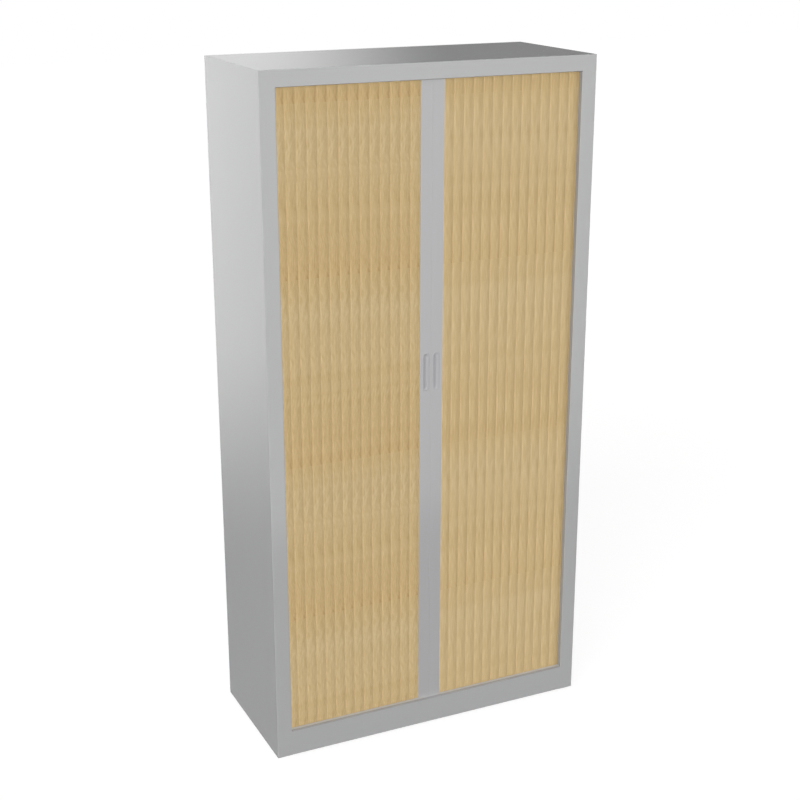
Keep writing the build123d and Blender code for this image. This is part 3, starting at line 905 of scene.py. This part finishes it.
slats = {}
for hand, sign in (("left", -1.0), ("right", 1.0)):
    for number in range(1, SLATS + 1):
        body = SLAT_BODY.format(hand=hand, number=number)
        piece = grow(body + "_oak", curtain, curtain_sockets, {
            "Section": section_source, "Material": finishes["slat_wood_effect"],
            "Slats": SLATS, "Wanted slat": number - 1, "Hand": sign, "Pitch": PITCH,
            "First hinge": FIRST_EDGE + SOCKET_OUT * MM, "Front": first_low.y, "Bottom": first_low.z,
            "Height": first_high.z - first_low.z,
        })
        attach(piece, body)
        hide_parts(body)
        slats[hand, number] = piece
bpy.data.objects.remove(section_source)
print("slats made", len(slats))

# %% [markdown]
# ## Slats beside the opening
# On the real cupboard the slats follow the track round the corner and along the side. In the model each
# slat slides straight into the space beside the opening instead, because a piece can't leave its axis.
# Here each slat is given a mesh of its own.

for (hand, number), piece in slats.items():
    body = SLAT_BODY.format(hand=hand, number=number)
    low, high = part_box(SLAT_BODY.format(hand="right", number=number))
    sign = -1 if hand == "left" else 1
    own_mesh(piece)

# %% [markdown]
# ## Finger pulls
# Each pull is a soft upright dish for the fingertips, pressed into a moulded insert. A boolean cut would
# leave a hard rim. Rings of the same rounded-slot outline, each a little smaller and deeper than the last,
# give an even, smooth dish, so the insert is lofted through them from its back to its deepest line.

# %% Loft the pulls
BODY_DEPTH = 9.0
LIP = 0.6
LIP_BEVEL = 0.3
DISH_DEPTH = 1.8
DISH_RINGS = 9
SLOT_TURNS = 12


def slot_ring(radius, reach, depth):
    """A rounded slot of that radius whose end arcs are centred at plus and minus reach."""
    ring = []
    for end, start in ((1, 0), (-1, 180)):
        for i in range(SLOT_TURNS + 1):
            turn = math.radians(start + 180 * i / SLOT_TURNS)
            ring.append((radius * math.cos(turn), depth, end * reach + radius * math.sin(turn)))
    return ring


def closed_mesh(name, shape):
    """The finished shape as a mesh whose faces point outwards."""
    bmesh.ops.recalc_face_normals(shape, faces=shape.faces)
    mesh = bpy.data.meshes.new(name)
    shape.to_mesh(mesh)
    shape.free()
    return mesh


def loft(name, rings, place):
    """A closed solid through rings of equally many points, capped at the first one."""
    shape = bmesh.new()
    rows = [[shape.verts.new(place + Vector(point) * MM) for point in ring] for ring in rings]
    count = len(rings[0])
    for row, after in zip(rows, rows[1:]):
        for i in range(count):
            j = (i + 1) % count
            shape.faces.new((row[i], row[j], after[j], after[i]))
    shape.faces.new(rows[0])
    bmesh.ops.remove_doubles(shape, verts=shape.verts, dist=WELD)
    return show_mesh(name, softened(closed_mesh(name, shape)))


for hand in ("left", "right"):
    node = f"{hand}_finger_pull"
    low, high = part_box(node)
    outer = (high.x - low.x) / 2 / MM
    reach = (high.z - low.z) / 2 / MM - outer
    inner = outer - 2 * LIP
    bevel = LIP_BEVEL * LIP
    rings = [slot_ring(outer, reach, BODY_DEPTH), slot_ring(outer, reach, LIP)]
    rings.append(slot_ring(outer - bevel, reach, bevel))
    for i in range(DISH_RINGS + 1):
        share = i / DISH_RINGS
        rings.append(slot_ring(inner * (1 - share), reach, DISH_DEPTH * (1 - math.cos(math.pi * share)) / 2))
    piece = loft(node + "_dish", rings, Vector(((low.x + high.x) / 2, low.y, (low.z + high.z) / 2)))
    piece.data.materials.append(finishes["finger_pull"])
    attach(piece, f"{hand}_door")
    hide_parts(node)
    print(piece.name, len(piece.data.polygons), "faces")

# %% [markdown]
# ## Wipers under the lead profiles
# Each lead profile ends just above the ledge. A thin wiper strip in the same grey closes what is left, so
# that the black guide in its end isn't seen. It stands a little proud of the profile's skin, and clear of
# both the ledge in front and the track below.

# %% Add the wipers
WIPER_FOOT = 79.3 * MM
WIPER_THICK = 0.6 * MM
WIPER_LAP = 0.4 * MM
BOX_FACES = ((0, 1, 2, 3), (4, 5, 6, 7), (0, 1, 5, 4), (1, 2, 6, 5), (2, 3, 7, 6), (3, 0, 4, 7))

for hand, sign in (("left", -1), ("right", 1)):
    low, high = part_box(f"{hand}_lead_profile")
    inner = min(abs(low.x), abs(high.x))
    outer = FIRST_EDGE - JOINT_GAP * MM
    front, back = low.y - WIPER_THICK, low.y
    outline = ((inner, front), (outer, front), (outer, back), (inner, back))
    corners = [(sign * x, y, z) for z in (WIPER_FOOT, low.z + WIPER_LAP) for x, y in outline]
    strip = bmesh.new()
    points = [strip.verts.new(corner) for corner in corners]
    for face in BOX_FACES:
        strip.faces.new([points[i] for i in face])
    mesh = closed_mesh(f"{hand}_lead_wiper", strip)
    mesh.materials.append(finishes["lead_profile"])
    piece = show_mesh(mesh.name, mesh)
    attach(piece, f"{hand}_door")
    print(piece.name, [round(size / MM, 1) for size in piece.dimensions], "mm")
